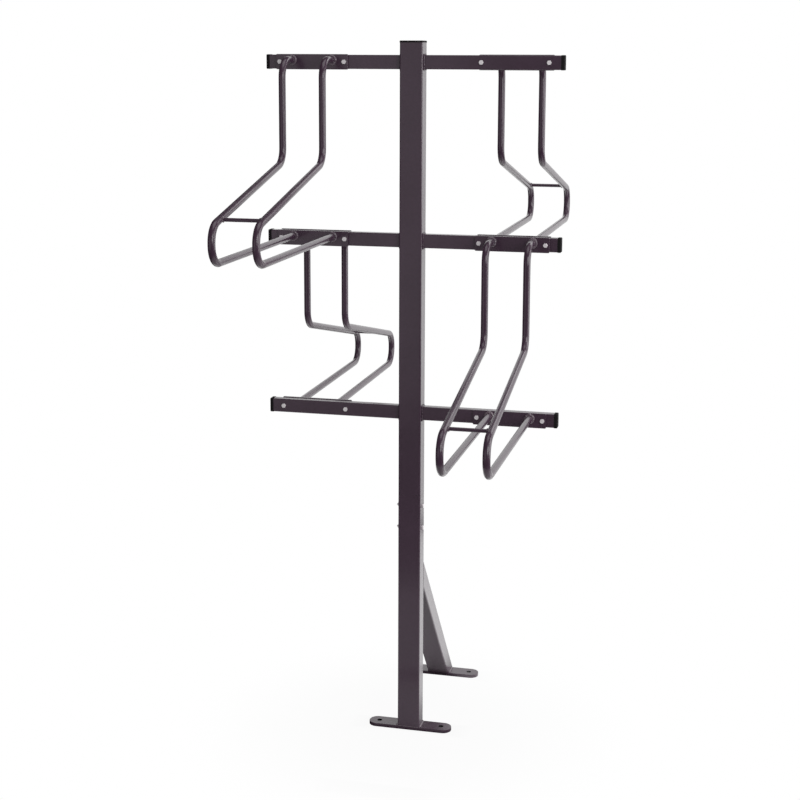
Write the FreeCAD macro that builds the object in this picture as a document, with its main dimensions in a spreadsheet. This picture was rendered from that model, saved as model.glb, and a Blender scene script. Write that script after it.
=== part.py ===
import FreeCAD, Part
import Sketcher
import math
import os
import re

# Free-standing vertical rack for four bicycles, in millimetres.
# X runs along the crossbars, Y runs back from the front of the rack, Z is up.
# The origin is on the floor, on the post's axis.

DRIVING_SIZES = [
    # Post, in two lengths of rectangular tube
    ("post_width", 63.5),
    ("post_depth", 50.8),
    ("post_wall", 3.0),
    ("post_corner", 4.0),
    ("least_corner", 0.5),
    ("post_head", 52.15),
    ("seam_drop", 233.45),
    ("seam_gap", 0.4),
    # Sleeve inside the post, across the seam
    ("sleeve_above", 150.0),
    ("sleeve_end", 50.0),
    ("sleeve_wall", 3.0),
    ("sleeve_clearance", 0.25),
    ("splice_bolt_drop", 36.0),
    ("splice_bolt_pitch", 64.0),
    # Foot plates
    ("foot_end", 29.65),
    ("foot_thickness", 9.525),
    ("foot_end_flat", 2.0),
    ("foot_edge_round", 1.0),
    ("anchor_spacing", 182.0),
    ("anchor_hole", 14.3),
    ("foot_spacing", 412.0),
    # Brace behind the post, of the post's tube
    ("brace_angle", 49.0),
    # Crossbars
    ("bar_height", 38.1),
    ("bar_depth", 25.4),
    ("bar_wall", 2.0),
    ("bar_corner", 3.0),
    ("bar_end", 21.0),
    ("lower_bar_height", 933.45),
    ("bar_pitch", 482.6),
    ("bar_slot_clearance", 0.3),
    # Plastic caps
    ("post_cap_flange", 5.0),
    ("bar_cap_flange", 9.4),
    ("cap_lip", 0.8),
    ("cap_crown", 2.5),
    ("cap_insert", 18.0),
    ("cap_wall", 2.5),
    ("cap_clearance", 0.2),
    # Wheel holders
    ("holder_offset", 279.4),
    ("tube_spacing", 112.0),
    ("tube_diameter", 19.05),
    ("tube_wall", 1.65),
    ("bend_radius", 47.6),
    ("stub_rise", 5.0),
    ("stub_length", 41.35),
    ("diagonal_run", 553.0),
    ("diagonal_fall", 119.0),
    ("nose_straight", 5.5),
    ("rod_diameter", 9.525),
    ("rod_setback", 21.0),
    ("rod_clearance", 0.1),
    # Mounting plates of the wheel holders
    ("plate_end", 10.6),
    ("plate_overhang", 1.6),
    ("plate_thickness", 6.35),
    ("plate_corner", 3.0),
    ("plate_edge_round", 0.8),
    # Fasteners
    ("bolt_to_tube", 35.0),
    ("bolt_diameter", 6.35),
    ("bolt_clearance", 0.4),
    ("bolt_head_width", 11.11),
    ("bolt_head_height", 4.14),
    ("head_chamfer_angle", 30.0),
    ("bolt_end", 3.0),
    ("nut_height", 5.6),
    ("nut_clearance", 0.1),
    ("washer_diameter", 15.9),
    ("washer_thickness", 1.6),
]

# Sizes that follow from the driving ones, so that mating pieces share them
DERIVED_SIZES = [
    ("middle_bar_height", "lower_bar_height + bar_pitch"),
    ("top_bar_height", "middle_bar_height + bar_pitch"),
    ("post_top", "top_bar_height + post_head"),
    ("post_bore_width", "post_width - 2 * post_wall"),
    ("post_bore_depth", "post_depth - 2 * post_wall"),
    ("post_bore_corner", "max(post_corner - post_wall; least_corner)"),
    ("seam_height", "lower_bar_height - seam_drop"),
    ("sleeve_width", "post_bore_width - 2 * sleeve_clearance"),
    ("sleeve_depth", "post_bore_depth - 2 * sleeve_clearance"),
    ("sleeve_below", "splice_bolt_drop + splice_bolt_pitch + sleeve_end"),
    ("sleeve_bore_corner", "max(post_bore_corner - sleeve_wall; least_corner)"),
    ("foot_length", "anchor_spacing + 2 * foot_end"),
    ("foot_corner", "(post_depth - foot_end_flat) / 2"),
    ("brace_cut", "post_depth / sin(brace_angle * 1 deg)"),
    ("brace_bore_cut", "post_bore_depth / sin(brace_angle * 1 deg)"),
    ("brace_slope", "tan(brace_angle * 1 deg)"),
    ("bar_bore_height", "bar_height - 2 * bar_wall"),
    ("bar_bore_depth", "bar_depth - 2 * bar_wall"),
    ("bar_bore_corner", "max(bar_corner - bar_wall; least_corner)"),
    ("bolt_spacing", "tube_spacing + 2 * bolt_to_tube"),
    ("bolt_hole", "bolt_diameter + 2 * bolt_clearance"),
    ("plate_length", "bolt_spacing + 2 * plate_end"),
    ("plate_height", "bar_height + 2 * plate_overhang"),
    ("plate_face", "bar_depth / 2 + plate_thickness"),
    ("bar_length", "2 * holder_offset + plate_length + 2 * bar_end"),
    ("drop_reach", "plate_face + stub_length + bend_radius"),
    ("nose_reach", "drop_reach + diagonal_run"),
    ("nose_turn", "atan(diagonal_run / diagonal_fall) / 1 deg"),
    ("nose_tangent", "bend_radius * tan(nose_turn / 2 * 1 deg)"),
    ("lower_run_drop", "bar_pitch - stub_rise"),
    ("nose_drop", "lower_run_drop - bend_radius - nose_tangent - nose_straight"),
    ("knee_drop", "nose_drop - diagonal_fall"),
    ("rod_from_nose", "nose_tangent + rod_setback"),
    ("rod_reach", "nose_reach - rod_from_nose * sin(nose_turn * 1 deg)"),
    ("rod_drop", "nose_drop - rod_from_nose * cos(nose_turn * 1 deg)"),
    ("rod_length", "tube_spacing - tube_diameter - 2 * rod_clearance"),
    ("bolt_behind_nut", "washer_thickness + nut_height + bolt_end"),
    ("short_bolt_length", "bar_depth + plate_thickness + bolt_behind_nut"),
    ("long_bolt_length", "bar_depth + 2 * plate_thickness + bolt_behind_nut"),
    ("splice_bolt_length", "post_width + nut_height + bolt_end"),
]

# Each wheel holder: its side of the post, the way it faces (-1 front, 1 back) and its two crossbars
WHEEL_HOLDERS = [
    ("front_left", -1, -1, "top", "middle"),
    ("back_right", 1, 1, "top", "middle"),
    ("back_left", -1, 1, "middle", "lower"),
    ("front_right", 1, -1, "middle", "lower"),
]
CROSSBARS = ("top", "middle", "lower")
SIZE_NAMES = {name for name, value in DRIVING_SIZES + DERIVED_SIZES}

doc = FreeCAD.newDocument("vertical_bike_rack")
sheet = doc.addObject("Spreadsheet::Sheet", "Sizes")
sub_parts = []


# Sizes

def fill_sheet():
    """Write every size to the sheet: its name in column A, its value in column B under the same alias."""
    cells = [(name, str(value)) for name, value in DRIVING_SIZES]
    cells += [(name, "=" + formula) for name, formula in DERIVED_SIZES]
    for row, (name, content) in enumerate(cells, 1):
        sheet.set("A%d" % row, name)
        sheet.set("B%d" % row, content)
        sheet.setAlias("B%d" % row, name)
    doc.recompute()


def size(expression):
    """Number that an expression of size names has now."""
    return float(sheet.evalExpression(expression))


def bind(target, prop, expression):
    """Tie a property to an expression of the sheet's size names."""
    def from_sheet(match):
        word = match.group()
        return "Sizes." + word if word in SIZE_NAMES else word
    target.setExpression(prop, re.sub(r"[a-z_]+", from_sheet, expression))


def place(target, x="0", y="0", z="0", rotation=FreeCAD.Rotation()):
    """Turn a sub-part and tie its place to the sheet."""
    target.Placement = FreeCAD.Placement(FreeCAD.Vector(size(x), size(y), size(z)), rotation)
    bind(target, "Placement.Base.x", x)
    bind(target, "Placement.Base.y", y)
    bind(target, "Placement.Base.z", z)


def about_z(degrees):
    return FreeCAD.Rotation(FreeCAD.Vector(0, 0, 1), degrees)


# Sketches

def new_body(label):
    body = doc.addObject("PartDesign::Body", label)
    body.Label = label
    sub_parts.append(body)
    return body


def origin_feature(body, role):
    return next(feature for feature in body.Origin.OriginFeatures if feature.Role == role)


def new_sketch(body, name, plane, off_plane="0", up_plane="0"):
    """Sketch on an origin plane of its body, moved off the plane and up along the sketch's own Y axis."""
    sketch = body.newObject("Sketcher::SketchObject", name)
    sketch.AttachmentSupport = [(origin_feature(body, plane), "")]
    sketch.MapMode = "FlatFace"
    bind(sketch, "AttachmentOffset.Base.z", off_plane)
    bind(sketch, "AttachmentOffset.Base.y", up_plane)
    return sketch


def relate(sketch, kind, *elements):
    sketch.addConstraint(Sketcher.Constraint(kind, *elements))


def dimension(sketch, kind, elements, expression):
    """Add a driving dimension and tie it to the sheet."""
    index = sketch.addConstraint(Sketcher.Constraint(kind, *elements, size(expression)))
    bind(sketch, "Constraints[%d]" % index, expression)


def place_point(sketch, geometry, vertex, x, y):
    """Dimension a point from the sketch's origin."""
    dimension(sketch, "DistanceX", (-1, 1, geometry, vertex), x)
    dimension(sketch, "DistanceY", (-1, 1, geometry, vertex), y)


def add_arc(sketch, centre, radius, first, last):
    circle = Part.Circle(centre, FreeCAD.Vector(0, 0, 1), radius)
    return sketch.addGeometry(Part.ArcOfCircle(circle, first, last))


def rounded_rectangle(sketch, width, height, corner):
    """Rectangle with rounded corners, centred on the sketch's origin."""
    half_w = size(width) / 2
    half_h = size(height) / 2
    radius = size(corner)
    flat_w = half_w - radius
    flat_h = half_h - radius
    sides = [
        ((-flat_w, -half_h), (flat_w, -half_h), (flat_w, -flat_h)),
        ((half_w, -flat_h), (half_w, flat_h), (flat_w, flat_h)),
        ((flat_w, half_h), (-flat_w, half_h), (-flat_w, flat_h)),
        ((-half_w, flat_h), (-half_w, -flat_h), (-flat_w, -flat_h)),
    ]
    lines = []
    arcs = []
    for quarter, (start, end, centre) in enumerate(sides):
        line = Part.LineSegment(FreeCAD.Vector(*start), FreeCAD.Vector(*end))
        lines.append(sketch.addGeometry(line))
        first = (quarter - 1) * math.pi / 2
        arcs.append(add_arc(sketch, FreeCAD.Vector(*centre), radius, first, first + math.pi / 2))
    for i in range(4):
        relate(sketch, "Tangent", lines[i], 2, arcs[i], 1)
        relate(sketch, "Tangent", arcs[i], 2, lines[(i + 1) % 4], 1)
    for arc in arcs[1:]:
        relate(sketch, "Equal", arcs[0], arc)
    for i in (0, 2):
        relate(sketch, "Horizontal", lines[i])
        relate(sketch, "Vertical", lines[i + 1])
    relate(sketch, "Symmetric", lines[0], 1, lines[2], 1, -1, 1)
    dimension(sketch, "DistanceX", (lines[3], 1, lines[1], 1), width)
    dimension(sketch, "DistanceY", (lines[0], 1, lines[2], 1), height)
    dimension(sketch, "Radius", (arcs[0],), corner)


def polygon(sketch, corners):
    """Closed outline through corners given as pairs of expressions."""
    points = [FreeCAD.Vector(size(x), size(y)) for x, y in corners]
    lines = []
    for i, point in enumerate(points):
        following = points[(i + 1) % len(points)]
        lines.append(sketch.addGeometry(Part.LineSegment(point, following)))
    for i, corner in enumerate(corners):
        relate(sketch, "Coincident", lines[i - 1], 2, lines[i], 1)
        place_point(sketch, lines[i], 1, *corner)


def circles(sketch, centres, diameters):
    """Circles of each diameter around centres given as pairs of expressions."""
    for x, y in centres:
        centre = FreeCAD.Vector(size(x), size(y))
        for diameter in diameters:
            circle = Part.Circle(centre, FreeCAD.Vector(0, 0, 1), size(diameter) / 2)
            index = sketch.addGeometry(circle)
            place_point(sketch, index, 3, x, y)
            dimension(sketch, "Diameter", (index,), diameter)


def bent_path(sketch, corners, radius):
    """Open path of straight runs, with an equal tangent bend at each inner corner."""
    points = [FreeCAD.Vector(size(x), size(y)) for x, y in corners]
    bend = size(radius)
    starts = [points[0]]
    ends = []
    bends = []
    for before, corner, after in zip(points, points[1:], points[2:]):
        way_in = (corner - before).normalize()
        way_out = (after - corner).normalize()
        left_turn = way_in.cross(way_out).z > 0
        tangent = bend * math.tan(way_in.getAngle(way_out) / 2)
        ends.append(corner - way_in * tangent)
        starts.append(corner + way_out * tangent)
        side = 1 if left_turn else -1
        centre = ends[-1] + FreeCAD.Vector(-way_in.y, way_in.x) * bend * side
        bends.append((centre, ends[-1], starts[-1], left_turn))
    ends.append(points[-1])
    lines = []
    for start, end in zip(starts, ends):
        lines.append(sketch.addGeometry(Part.LineSegment(start, end)))
    arcs = []
    for i, (centre, entry, leave, left_turn) in enumerate(bends):
        first, last = (entry, leave) if left_turn else (leave, entry)
        first_angle = math.atan2(first.y - centre.y, first.x - centre.x)
        last_angle = math.atan2(last.y - centre.y, last.x - centre.x)
        if last_angle < first_angle:
            last_angle += 2 * math.pi
        arcs.append(add_arc(sketch, centre, bend, first_angle, last_angle))
        relate(sketch, "Tangent", lines[i], 2, arcs[i], 1 if left_turn else 2)
        relate(sketch, "Tangent", arcs[i], 2 if left_turn else 1, lines[i + 1], 1)
        corner = sketch.addGeometry(Part.Point(points[i + 1]), True)
        relate(sketch, "PointOnObject", corner, 1, lines[i])
        relate(sketch, "PointOnObject", corner, 1, lines[i + 1])
        place_point(sketch, corner, 1, *corners[i + 1])
    for arc in arcs[1:]:
        relate(sketch, "Equal", arcs[0], arc)
    dimension(sketch, "Radius", (arcs[0],), radius)
    place_point(sketch, lines[0], 1, *corners[0])
    place_point(sketch, lines[-1], 2, *corners[-1])


# Features

def pad(body, sketch, length, symmetric=False, backwards=False):
    feature = body.newObject("PartDesign::Pad", "Pad")
    feature.Profile = sketch
    feature.SideType = "Symmetric" if symmetric else "One side"
    feature.Reversed = backwards
    bind(feature, "Length", length)
    doc.recompute()
    return feature


def cut_both_ways(body, sketch, length):
    """Pocket of this whole length, half to each side of its sketch, checked to take material away."""
    before = body.Tip.Shape.Volume
    feature = body.newObject("PartDesign::Pocket", "Pocket")
    feature.Profile = sketch
    feature.Type = "Length"
    feature.SideType = "Symmetric"
    bind(feature, "Length", length)
    doc.recompute()
    if feature.Shape.Volume >= before:
        raise RuntimeError(body.Label + ": a pocket cut nothing")
    return feature


def round_edges(body, is_chosen, radius):
    """Round the edges of the body's last feature that a test picks."""
    base = body.Tip
    names = ["Edge%d" % i for i, edge in enumerate(base.Shape.Edges, 1) if is_chosen(edge)]
    feature = body.newObject("PartDesign::Fillet", "Fillet")
    feature.Base = (base, names)
    bind(feature, "Radius", radius)
    doc.recompute()
    return feature


def round_outline(body, axis, level, radius):
    """Round the outer edges of the flat face at this level along an axis, and leave its holes sharp."""
    tolerance = 1e-6

    def is_outline(edge):
        return abs(edge.BoundBox.Center.dot(axis) - size(level)) < tolerance and not edge.isClosed()

    round_edges(body, is_outline, radius)


# Pieces

def post_tube(body, foot, length):
    """Upright length of the post's rectangular tube."""
    section = new_sketch(body, "TubeSection", "XY_Plane", foot)
    rounded_rectangle(section, "post_width", "post_depth", "post_corner")
    rounded_rectangle(section, "post_bore_width", "post_bore_depth", "post_bore_corner")
    pad(body, section, length)


def drill_splice_holes(body):
    """Two bolt holes from side to side, below the seam."""
    holes = new_sketch(body, "SpliceHoles", "YZ_Plane", up_plane="seam_height - splice_bolt_drop")
    circles(holes, [("0", "0"), ("0", "-splice_bolt_pitch")], ["bolt_hole"])
    cut_both_ways(body, holes, "2 * post_width")


def make_posts():
    """Lower post on the front foot plate, upper post above the seam, sleeve inside both."""
    lower = new_body("lower_post")
    post_tube(lower, "foot_thickness", "seam_height - foot_thickness")
    drill_splice_holes(lower)

    upper = new_body("upper_post")
    post_tube(upper, "seam_height + seam_gap", "post_top - seam_height - seam_gap")
    slot = new_sketch(upper, "CrossbarSlot", "YZ_Plane", up_plane="lower_bar_height")
    slot_depth = "bar_depth + 2 * bar_slot_clearance"
    slot_height = "bar_height + 2 * bar_slot_clearance"
    rounded_rectangle(slot, slot_depth, slot_height, "bar_corner")
    first_slot = cut_both_ways(upper, slot, "2 * post_width")
    slots = upper.newObject("PartDesign::LinearPattern", "CrossbarSlots")
    slots.Originals = [first_slot]
    slots.Direction = (origin_feature(upper, "Z_Axis"), [""])
    slots.Occurrences = len(CROSSBARS)
    bind(slots, "Length", "2 * bar_pitch")
    upper.Tip = slots

    sleeve = new_body("splice_sleeve")
    section = new_sketch(sleeve, "SleeveSection", "XY_Plane", "seam_height - sleeve_below")
    rounded_rectangle(section, "sleeve_width", "sleeve_depth", "post_bore_corner")
    bore_width = "sleeve_width - 2 * sleeve_wall"
    bore_depth = "sleeve_depth - 2 * sleeve_wall"
    rounded_rectangle(section, bore_width, bore_depth, "sleeve_bore_corner")
    pad(sleeve, section, "sleeve_below + sleeve_above")
    drill_splice_holes(sleeve)


def make_foot_plate(label, y):
    """Flat bar with rounded ends and an anchor hole at each end."""
    body = new_body(label)
    outline = new_sketch(body, "Outline", "XY_Plane")
    rounded_rectangle(outline, "foot_length", "post_depth", "foot_corner")
    pad(body, outline, "foot_thickness")
    holes = new_sketch(body, "AnchorHoles", "XY_Plane")
    circles(holes, [("-anchor_spacing / 2", "0"), ("anchor_spacing / 2", "0")], ["anchor_hole"])
    cut_both_ways(body, holes, "4 * foot_thickness")
    round_outline(body, FreeCAD.Vector(0, 0, 1), "foot_thickness", "foot_edge_round")
    place(body, y=y)


def brace_outline(sketch, cut):
    """Side view of the leaning tube: flat on the foot plate, upright against the post."""
    front = "foot_spacing - %s / 2" % cut
    back = "foot_spacing + %s / 2" % cut
    post_back = "post_depth / 2"
    height = "foot_thickness + (%s - post_depth / 2) * brace_slope"
    corners = [
        (front, "foot_thickness"),
        (back, "foot_thickness"),
        (post_back, height % ("(%s)" % back)),
        (post_back, height % ("(%s)" % front)),
    ]
    polygon(sketch, corners)


def make_brace():
    """Leaning length of the post's tube, cut at both ends to the foot plate and the post."""
    body = new_body("rear_brace")
    side = new_sketch(body, "SideView", "YZ_Plane")
    brace_outline(side, "brace_cut")
    pad(body, side, "post_width", symmetric=True)
    angle = math.radians(size("brace_angle"))
    lean = FreeCAD.Vector(0, -math.cos(angle), math.sin(angle))
    parallel = 1e-6
    round_edges(body, lambda edge: edge.tangentAt(0).cross(lean).Length < parallel, "post_corner")
    bore = new_sketch(body, "Bore", "YZ_Plane")
    brace_outline(bore, "brace_bore_cut")
    cut_both_ways(body, bore, "post_bore_width")


def make_crossbar(level):
    """Rectangular tube through the post, drilled for two bolts at each wheel holder."""
    body = new_body(level + "_crossbar")
    section = new_sketch(body, "TubeSection", "YZ_Plane")
    rounded_rectangle(section, "bar_depth", "bar_height", "bar_corner")
    rounded_rectangle(section, "bar_bore_depth", "bar_bore_height", "bar_bore_corner")
    pad(body, section, "bar_length", symmetric=True)
    holes = new_sketch(body, "BoltHoles", "XZ_Plane")
    far = "holder_offset + bolt_spacing / 2"
    near = "holder_offset - bolt_spacing / 2"
    spots = ("-(%s)" % far, "-(%s)" % near, near, far)
    circles(holes, [(x, "0") for x in spots], ["bolt_hole"])
    cut_both_ways(body, holes, "2 * bar_depth")
    place(body, z=level + "_bar_height")


def make_cap(label, plane, seat, thickness, tube, bore, rotation, height):
    """Plastic cap: crowned flange over a tube's end, with a hollow insert pressed into the bore."""
    body = new_body(label)
    flange = new_sketch(body, "Flange", plane, seat)
    with_lip = [side + " + 2 * cap_lip" for side in tube[:2]]
    rounded_rectangle(flange, *with_lip, tube[2])
    pad(body, flange, thickness)
    axis = FreeCAD.Vector(0, 0, 1) if plane == "XY_Plane" else FreeCAD.Vector(1, 0, 0)
    round_outline(body, axis, seat + " + " + thickness, "cap_crown")
    insert = new_sketch(body, "Insert", plane, seat)
    fitted = [side + " - 2 * cap_clearance" for side in bore[:2]]
    hollow = [side + " - 2 * cap_wall" for side in fitted]
    rounded_rectangle(insert, *fitted, bore[2])
    rounded_rectangle(insert, *hollow, bore[2])
    pad(body, insert, "cap_insert", backwards=True)
    place(body, z=height, rotation=rotation)


def make_caps():
    """One cap on top of the post and one on each end of each crossbar."""
    post = ("post_width", "post_depth", "post_corner")
    post_bore = ("post_bore_width", "post_bore_depth", "post_bore_corner")
    make_cap("post_top_cap", "XY_Plane", "post_top", "post_cap_flange", post, post_bore, about_z(0), "0")
    bar = ("bar_depth", "bar_height", "bar_corner")
    bar_bore = ("bar_bore_depth", "bar_bore_height", "bar_bore_corner")
    for level in CROSSBARS:
        for side, turn in (("left", 180), ("right", 0)):
            label = "%s_crossbar_%s_cap" % (level, side)
            height = level + "_bar_height"
            seat = "bar_length / 2"
            make_cap(label, "YZ_Plane", seat, "bar_cap_flange", bar, bar_bore, about_z(turn), height)


def make_holder_tube(label, x, height, turn):
    """Bent round tube: out of the upper plate, down, along the diagonal, down, back to the lower plate."""
    body = new_body(label)
    path = new_sketch(body, "CentreLine", "YZ_Plane")
    corners = [
        ("plate_face", "stub_rise"),
        ("drop_reach", "stub_rise"),
        ("drop_reach", "-knee_drop"),
        ("nose_reach", "-nose_drop"),
        ("nose_reach", "-lower_run_drop"),
        ("plate_face", "-lower_run_drop"),
    ]
    bent_path(path, corners, "bend_radius")
    ring = new_sketch(body, "Ring", "XZ_Plane", "-plate_face")
    circles(ring, [("0", "stub_rise")], ["tube_diameter", "tube_diameter - 2 * tube_wall"])
    doc.recompute()
    pipe = body.newObject("PartDesign::AdditivePipe", "Pipe")
    pipe.Profile = ring
    pipe.Spine = (path, ["Edge%d" % i for i in range(1, len(path.Shape.Edges) + 1)])
    doc.recompute()
    outer = size("tube_diameter")
    bore = outer - 2 * size("tube_wall")
    expected = path.Shape.Length * math.pi / 4 * (outer ** 2 - bore ** 2)
    tolerance = 0.001
    if abs(pipe.Shape.Volume / expected - 1) > tolerance:
        raise RuntimeError(label + ": the tube's volume isn't its section times its length")
    place(body, x=x, z=height, rotation=about_z(turn))


def make_mounting_plate(label, x, height, turn):
    """Flat plate that carries both tubes of a wheel holder and is bolted to a crossbar."""
    body = new_body(label)
    outline = new_sketch(body, "Outline", "XZ_Plane", "-plate_face")
    rounded_rectangle(outline, "plate_length", "plate_height", "plate_corner")
    pad(body, outline, "plate_thickness")
    holes = new_sketch(body, "BoltHoles", "XZ_Plane", "-plate_face")
    circles(holes, [("-bolt_spacing / 2", "0"), ("bolt_spacing / 2", "0")], ["bolt_hole"])
    cut_both_ways(body, holes, "4 * plate_thickness")
    round_outline(body, FreeCAD.Vector(0, 1, 0), "plate_face", "plate_edge_round")
    place(body, x=x, z=height, rotation=about_z(turn))


def make_cross_rod(label, x, y, height):
    """Thin round rod between the two tubes of a wheel holder, from which a wheel's rim hangs."""
    rod = doc.addObject("Part::Cylinder", label)
    rod.Label = label
    bind(rod, "Radius", "rod_diameter / 2")
    bind(rod, "Height", "rod_length")
    along_x = FreeCAD.Rotation(FreeCAD.Vector(0, 1, 0), 90)
    place(rod, x=x + " - rod_length / 2", y=y, z=height + " - rod_drop", rotation=along_x)
    sub_parts.append(rod)


def make_wheel_holders():
    """Four welded holders, alike but for their place and the way they face."""
    for name, side, facing, upper, lower in WHEEL_HOLDERS:
        centre = "%d * holder_offset" % side
        turn = 0 if facing > 0 else 180
        upper_height = upper + "_bar_height"
        for tube, step in (("inner", -side), ("outer", side)):
            x = "%s + %d * tube_spacing / 2" % (centre, step)
            make_holder_tube("%s_%s_tube" % (name, tube), x, upper_height, turn)
        make_cross_rod(name + "_cross_rod", centre, "%d * rod_reach" % facing, upper_height)
        make_mounting_plate(name + "_upper_plate", centre, upper_height, turn)
        make_mounting_plate(name + "_lower_plate", centre, lower + "_bar_height", turn)


# Fasteners, each drawn once along Z and copied to its places

def chamfered_hexagon(name, height, both_ends):
    """Hexagonal prism from z = 0 up, its corners turned down at the top or at both ends."""
    prism = doc.addObject("Part::Prism", name + "Hexagon")
    prism.Polygon = 6
    bind(prism, "Circumradius", "bolt_head_width / sqrt(3)")
    bind(prism, "Height", height)
    cone = doc.addObject("Part::Cone", name + "Chamfer")
    bind(cone, "Radius1", "bolt_head_width / 2 + %s / tan(head_chamfer_angle * 1 deg)" % height)
    bind(cone, "Radius2", "bolt_head_width / 2")
    bind(cone, "Height", height)
    solids = [prism, cone]
    if both_ends:
        other = doc.addObject("Part::Cone", name + "OtherChamfer")
        bind(other, "Radius1", "bolt_head_width / 2")
        bind(other, "Radius2", "bolt_head_width / 2 + %s / tan(head_chamfer_angle * 1 deg)" % height)
        bind(other, "Height", height)
        solids.append(other)
    hexagon = doc.addObject("Part::MultiCommon", name + "Head")
    hexagon.Shapes = solids
    return hexagon


def make_bolt(name, length):
    """Hexagon bolt: the head's seat is at z = 0, the head above it and the shank below."""
    head = chamfered_hexagon(name, "bolt_head_height", False)
    shank = doc.addObject("Part::Cylinder", name + "Shank")
    bind(shank, "Radius", "bolt_diameter / 2")
    bind(shank, "Height", length)
    bind(shank, "Placement.Base.z", "-(%s)" % length)
    bolt = doc.addObject("Part::MultiFuse", name)
    bolt.Shapes = [head, shank]
    return bolt


def make_ring(name, outside, bore, height):
    """Outside shape with a round hole through it along Z."""
    hole = doc.addObject("Part::Cylinder", name + "Bore")
    bind(hole, "Radius", "(%s) / 2" % bore)
    bind(hole, "Height", height)
    ring = doc.addObject("Part::Cut", name)
    ring.Base = outside
    ring.Tool = hole
    return ring


def make_nut():
    outside = chamfered_hexagon("Nut", "nut_height", True)
    return make_ring("Nut", outside, "bolt_diameter + 2 * nut_clearance", "nut_height")


def make_washer():
    outside = doc.addObject("Part::Cylinder", "WasherDisc")
    bind(outside, "Radius", "washer_diameter / 2")
    bind(outside, "Height", "washer_thickness")
    return make_ring("Washer", outside, "bolt_hole", "washer_thickness")


def make_group(label, piece, places, rotation):
    """One sub-part of several separate copies of a piece."""
    copies = []
    for x, y, z in places:
        copy = doc.addObject("App::Link", label + "Copy")
        copy.LinkedObject = piece
        place(copy, x, y, z, rotation)
        copies.append(copy)
    group = doc.addObject("Part::Compound", label)
    group.Label = label
    group.Links = copies
    sub_parts.append(group)


def make_crossbar_fasteners(nut, washer):
    """Bolts with their heads in front and their washers and nuts behind, two at each holder's crossbars."""
    short_bolts = []
    long_bolts = []
    washers = []
    nuts = []
    bar_face = "bar_depth / 2"
    for level in CROSSBARS:
        for side in (-1, 1):
            faced = [facing for name, its_side, facing, upper, lower in WHEEL_HOLDERS
                     if its_side == side and level in (upper, lower)]
            front = "plate_face" if -1 in faced else bar_face
            back = "plate_face" if 1 in faced else bar_face
            bolts = long_bolts if len(faced) == 2 else short_bolts
            for end in (-1, 1):
                x = "%d * holder_offset + %d * bolt_spacing / 2" % (side, end)
                z = level + "_bar_height"
                bolts.append((x, "-(%s)" % front, z))
                washers.append((x, back, z))
                nuts.append((x, back + " + washer_thickness", z))
    head_in_front = FreeCAD.Rotation(FreeCAD.Vector(1, 0, 0), 90)
    faces_back = FreeCAD.Rotation(FreeCAD.Vector(1, 0, 0), -90)
    short_bolt = make_bolt("ShortBolt", "short_bolt_length")
    long_bolt = make_bolt("LongBolt", "long_bolt_length")
    make_group("crossbar_short_bolts", short_bolt, short_bolts, head_in_front)
    make_group("crossbar_long_bolts", long_bolt, long_bolts, head_in_front)
    make_group("crossbar_washers", washer, washers, faces_back)
    make_group("crossbar_nuts", nut, nuts, faces_back)


def make_splice_fasteners(nut):
    """Two bolts through the post and its sleeve, heads on the right and nuts on the left."""
    upper = "seam_height - splice_bolt_drop"
    heights = (upper, upper + " - splice_bolt_pitch")
    bolt = make_bolt("SpliceBolt", "splice_bolt_length")
    head_right = FreeCAD.Rotation(FreeCAD.Vector(0, 1, 0), 90)
    faces_left = FreeCAD.Rotation(FreeCAD.Vector(0, 1, 0), -90)
    right = [("post_width / 2", "0", z) for z in heights]
    left = [("-post_width / 2", "0", z) for z in heights]
    make_group("splice_bolts", bolt, right, head_right)
    make_group("splice_nuts", nut, left, faces_left)


# Checks and files

def check_document():
    """Stop if an object failed or a sub-part has no valid shape."""
    doc.recompute()
    for item in doc.Objects:
        if {"Invalid", "Error"} & set(item.State):
            raise RuntimeError("%s failed: %s" % (item.Label, item.State))
    for item in sub_parts:
        if item.Shape.isNull() or not item.Shape.isValid() or not item.Shape.Solids:
            raise RuntimeError(item.Label + " has no valid solid")


def write_parts():
    os.makedirs("parts", exist_ok=True)
    for item in sub_parts:
        item.Shape.exportStep("parts/%s.step" % item.Label)


fill_sheet()
make_foot_plate("front_foot_plate", "0")
make_foot_plate("rear_foot_plate", "foot_spacing")
make_posts()
make_brace()
for crossbar in CROSSBARS:
    make_crossbar(crossbar)
make_caps()
make_wheel_holders()
shared_nut = make_nut()
make_crossbar_fasteners(shared_nut, make_washer())
make_splice_fasteners(shared_nut)
check_document()
write_parts()
print("%d sub-parts written" % len(sub_parts))
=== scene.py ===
import math
import random

import bmesh
import bpy
from mathutils import Matrix, Vector


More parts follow.
